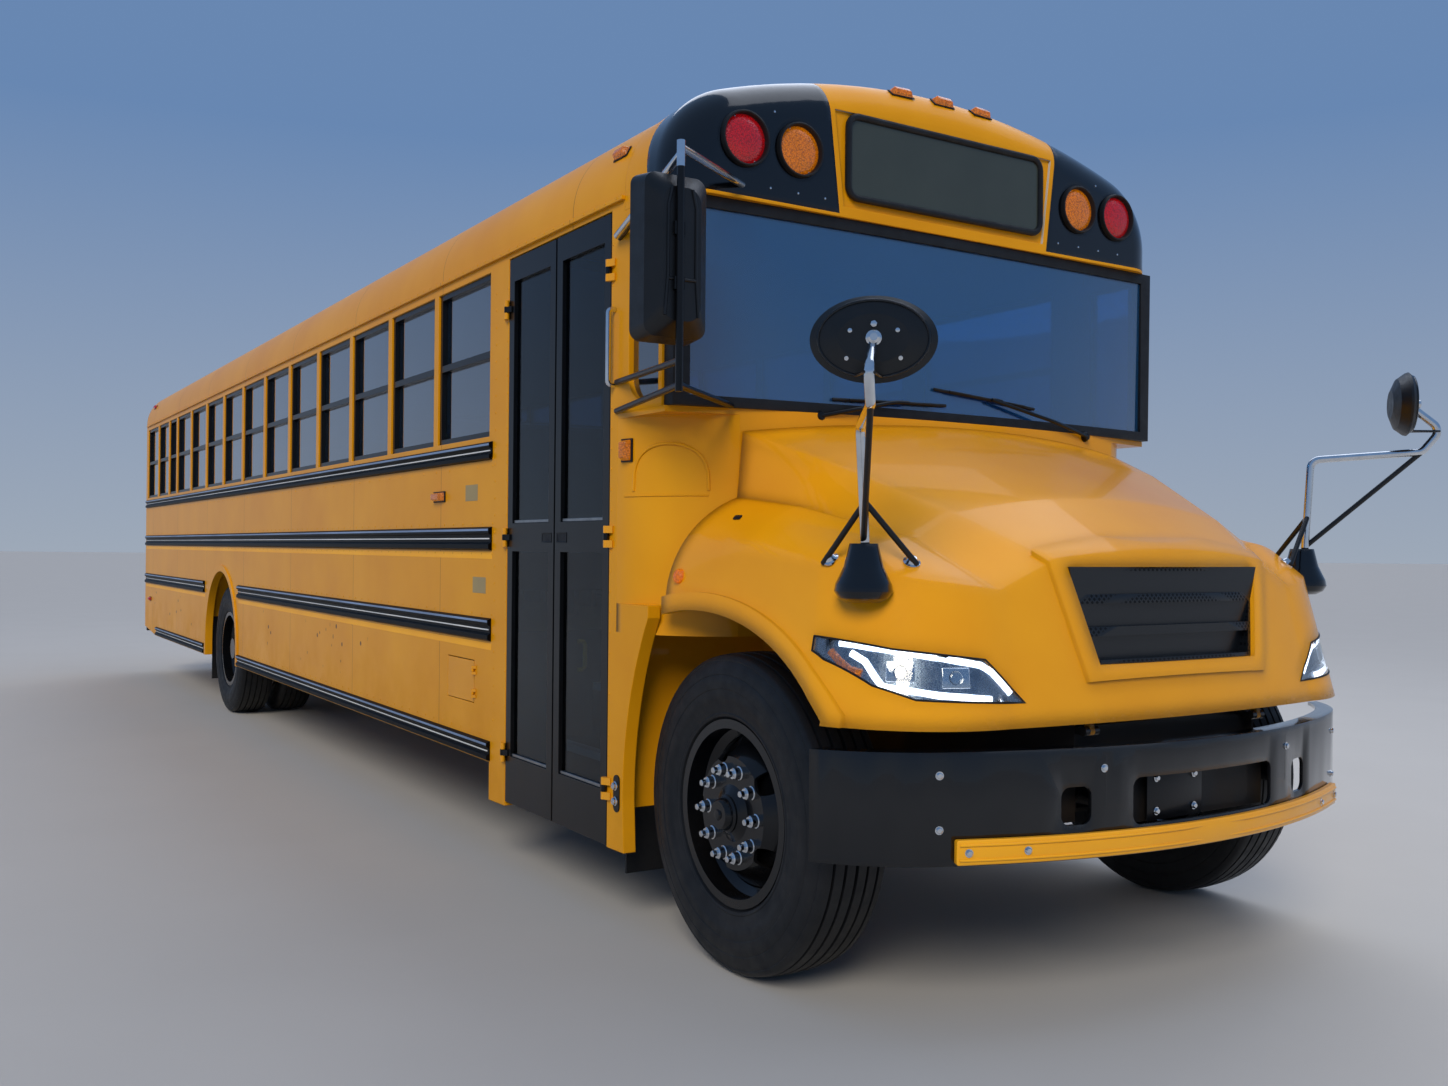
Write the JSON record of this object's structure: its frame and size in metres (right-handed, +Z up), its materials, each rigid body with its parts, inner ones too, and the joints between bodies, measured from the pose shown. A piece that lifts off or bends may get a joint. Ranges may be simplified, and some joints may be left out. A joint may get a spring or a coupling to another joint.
{
  "type": "school bus",
  "caption": "Full-size conventional school bus: long hollow body with rows of windows, seats, folding door, tilting hood, steered front wheels and twin rear wheels.",
  "frame": {"origin": "on the ground under the middle of the whole vehicle", "axes": "+Y towards the rear, +Z up, +X towards the driver's side"},
  "size_m": [2.8821, 12.722, 3.2018],
  "materials": {
    "yellow_paint": "gloss paint",
    "tyre": "black rubber",
    "rim_black": "gloss black paint",
    "glass": "tinted clear",
    "bare_aluminium": "satin",
    "lamp_lens": "moulded lens",
    "lamp_clear": "clear lens",
    "black_paint": "gloss black",
    "black_gloss": "high gloss black",
    "black_rubber": "matte",
    "black_plastic": "satin",
    "chrome": "polished",
    "floor_black": "satin",
    "chassis_black": "painted black",
    "engine_grey": "cast",
    "bare_steel": "weathered",
    "seat_vinyl": "smooth vinyl",
    "stop_red": "gloss",
    "roof_white": "gloss paint"
  },
  "bodies": {
    "bus": {"axles": "chassis_black", "body_floor": "floor_black", "bumper_strip": "yellow_paint", "cowl": "yellow_paint", "dashboard": "black_plastic", "driveline": "chassis_black", "engine_block": "engine_grey", "exhaust": "bare_steel", "frame_rails": "chassis_black", "front_bumper": "black_paint", "front_cap": "yellow_paint", "fuel_tank": "chassis_black", "hinge_brackets": "black_paint", "lamp_panels": "black_gloss", "leaf_springs": "chassis_black", "mirror_arms": "black_paint", "mud_flaps": "black_rubber", "rear_bumper": "black_paint", "rear_wall": "yellow_paint", "roof": "yellow_paint", "rub_rails": "black_paint", "seat_backs": "seat_vinyl", "seat_cushions": "seat_vinyl", "seat_frames": "chassis_black", "side_wall_left": "yellow_paint", "side_wall_right": "yellow_paint", "step_well": "black_rubber", "warning_lamps": "lamp_lens", "window_frames": "bare_aluminium", "window_glass": "glass", "windshield": "glass", "windshield_frame": "black_rubber", "wing_mirror": "black_plastic"},
    "knuckle_left": {"knuckle_left": "chassis_black"},
    "knuckle_right": {"knuckle_right": "chassis_black"},
    "front_wheel_left": {"front_rim_left": "rim_black", "front_tyre_left": "tyre"},
    "front_wheel_right": {"front_rim_right": "rim_black", "front_tyre_right": "tyre"},
    "rear_wheels_left": {"rear_rims_left": "rim_black", "rear_tyres_left": "tyre"},
    "rear_wheels_right": {"rear_rims_right": "rim_black", "rear_tyres_right": "tyre"},
    "hood": {"hood_shell": "yellow_paint", "grille": "black_plastic", "headlamps": "lamp_clear", "mirror_pods": "black_plastic", "crossview_mirrors": "chrome"},
    "door_front": {"door_leaf_front": "black_paint", "door_glass_front": "glass"},
    "door_rear": {"door_leaf_rear": "black_paint", "door_glass_rear": "glass"},
    "rear_door": {"rear_door": "yellow_paint", "rear_door_glass": "glass"},
    "roof_hatch_front": {"roof_hatch_front": "roof_white"},
    "roof_hatch_rear": {"roof_hatch_rear": "roof_white"},
    "stop_arm": {"stop_arm": "stop_red"},
    "fuel_door": {"fuel_door": "yellow_paint"},
    "steering_wheel": {"steering_wheel": "black_plastic"}
  },
  "joints": [
    {"name": "steer_left", "type": "hinge", "parent": "bus", "child": "knuckle_left", "pos_m": [0.85, -5.37, 0.522], "axis": [0, 0, 1], "range_deg": [-32, 32]},
    {"name": "steer_right", "type": "hinge", "parent": "bus", "child": "knuckle_right", "pos_m": [-0.85, -5.37, 0.522], "axis": [0, 0, 1], "range_deg": [-32, 32]},
    {"name": "spin_front_left", "type": "hinge", "parent": "knuckle_left", "child": "front_wheel_left", "pos_m": [1.012, -5.37, 0.522], "axis": [1, 0, 0], "continuous": true},
    {"name": "spin_front_right", "type": "hinge", "parent": "knuckle_right", "child": "front_wheel_right", "pos_m": [-1.012, -5.37, 0.522], "axis": [1, 0, 0], "continuous": true},
    {"name": "spin_rear_left", "type": "hinge", "parent": "bus", "child": "rear_wheels_left", "pos_m": [0.865, 2.25, 0.522], "axis": [1, 0, 0], "continuous": true},
    {"name": "spin_rear_right", "type": "hinge", "parent": "bus", "child": "rear_wheels_right", "pos_m": [-0.865, 2.25, 0.522], "axis": [1, 0, 0], "continuous": true},
    {"name": "hood_tilt", "type": "hinge", "parent": "bus", "child": "hood", "pos_m": [0, -6.22, 0.845], "axis": [1, 0, 0], "range_deg": [0, 60]},
    {"name": "door_front_fold", "type": "hinge", "parent": "bus", "child": "door_front", "pos_m": [-1.231, -4.668, 1.45], "axis": [0, 0, 1], "range_deg": [0, 88]},
    {"name": "door_rear_fold", "type": "hinge", "parent": "bus", "child": "door_rear", "pos_m": [-1.231, -3.718, 1.45], "axis": [0, 0, -1], "range_deg": [0, 88]},
    {"name": "rear_door_swing", "type": "hinge", "parent": "bus", "child": "rear_door", "pos_m": [-0.427, 6.252, 1.788], "axis": [0, 0, 1], "range_deg": [0, 95]},
    {"name": "hatch_front_lift", "type": "hinge", "parent": "bus", "child": "roof_hatch_front", "pos_m": [0, -2.404, 3.176], "axis": [1, 0, 0], "range_deg": [0, 80]},
    {"name": "hatch_rear_lift", "type": "hinge", "parent": "bus", "child": "roof_hatch_rear", "pos_m": [0, 2.896, 3.176], "axis": [1, 0, 0], "range_deg": [0, 80]},
    {"name": "stop_arm_swing", "type": "hinge", "parent": "bus", "child": "stop_arm", "pos_m": [1.251, -4.435, 1.62], "axis": [0, 0, -1], "range_deg": [0, 90]},
    {"name": "fuel_door_swing", "type": "hinge", "parent": "bus", "child": "fuel_door", "pos_m": [-1.227, -3.354, 0.768], "axis": [0, 0, 1], "range_deg": [0, 110]},
    {"name": "steering_wheel_turn", "type": "hinge", "parent": "bus", "child": "steering_wheel", "pos_m": [0.62, -4.465, 1.73], "axis": [0, 0.6691, 0.7431], "range_deg": [-540, 540]}
  ],
  "couplings": [
    {"joint": "steer_right", "follows": "steer_left", "ratio": 1},
    {"joint": "door_rear_fold", "follows": "door_front_fold", "ratio": 1}
  ]
}
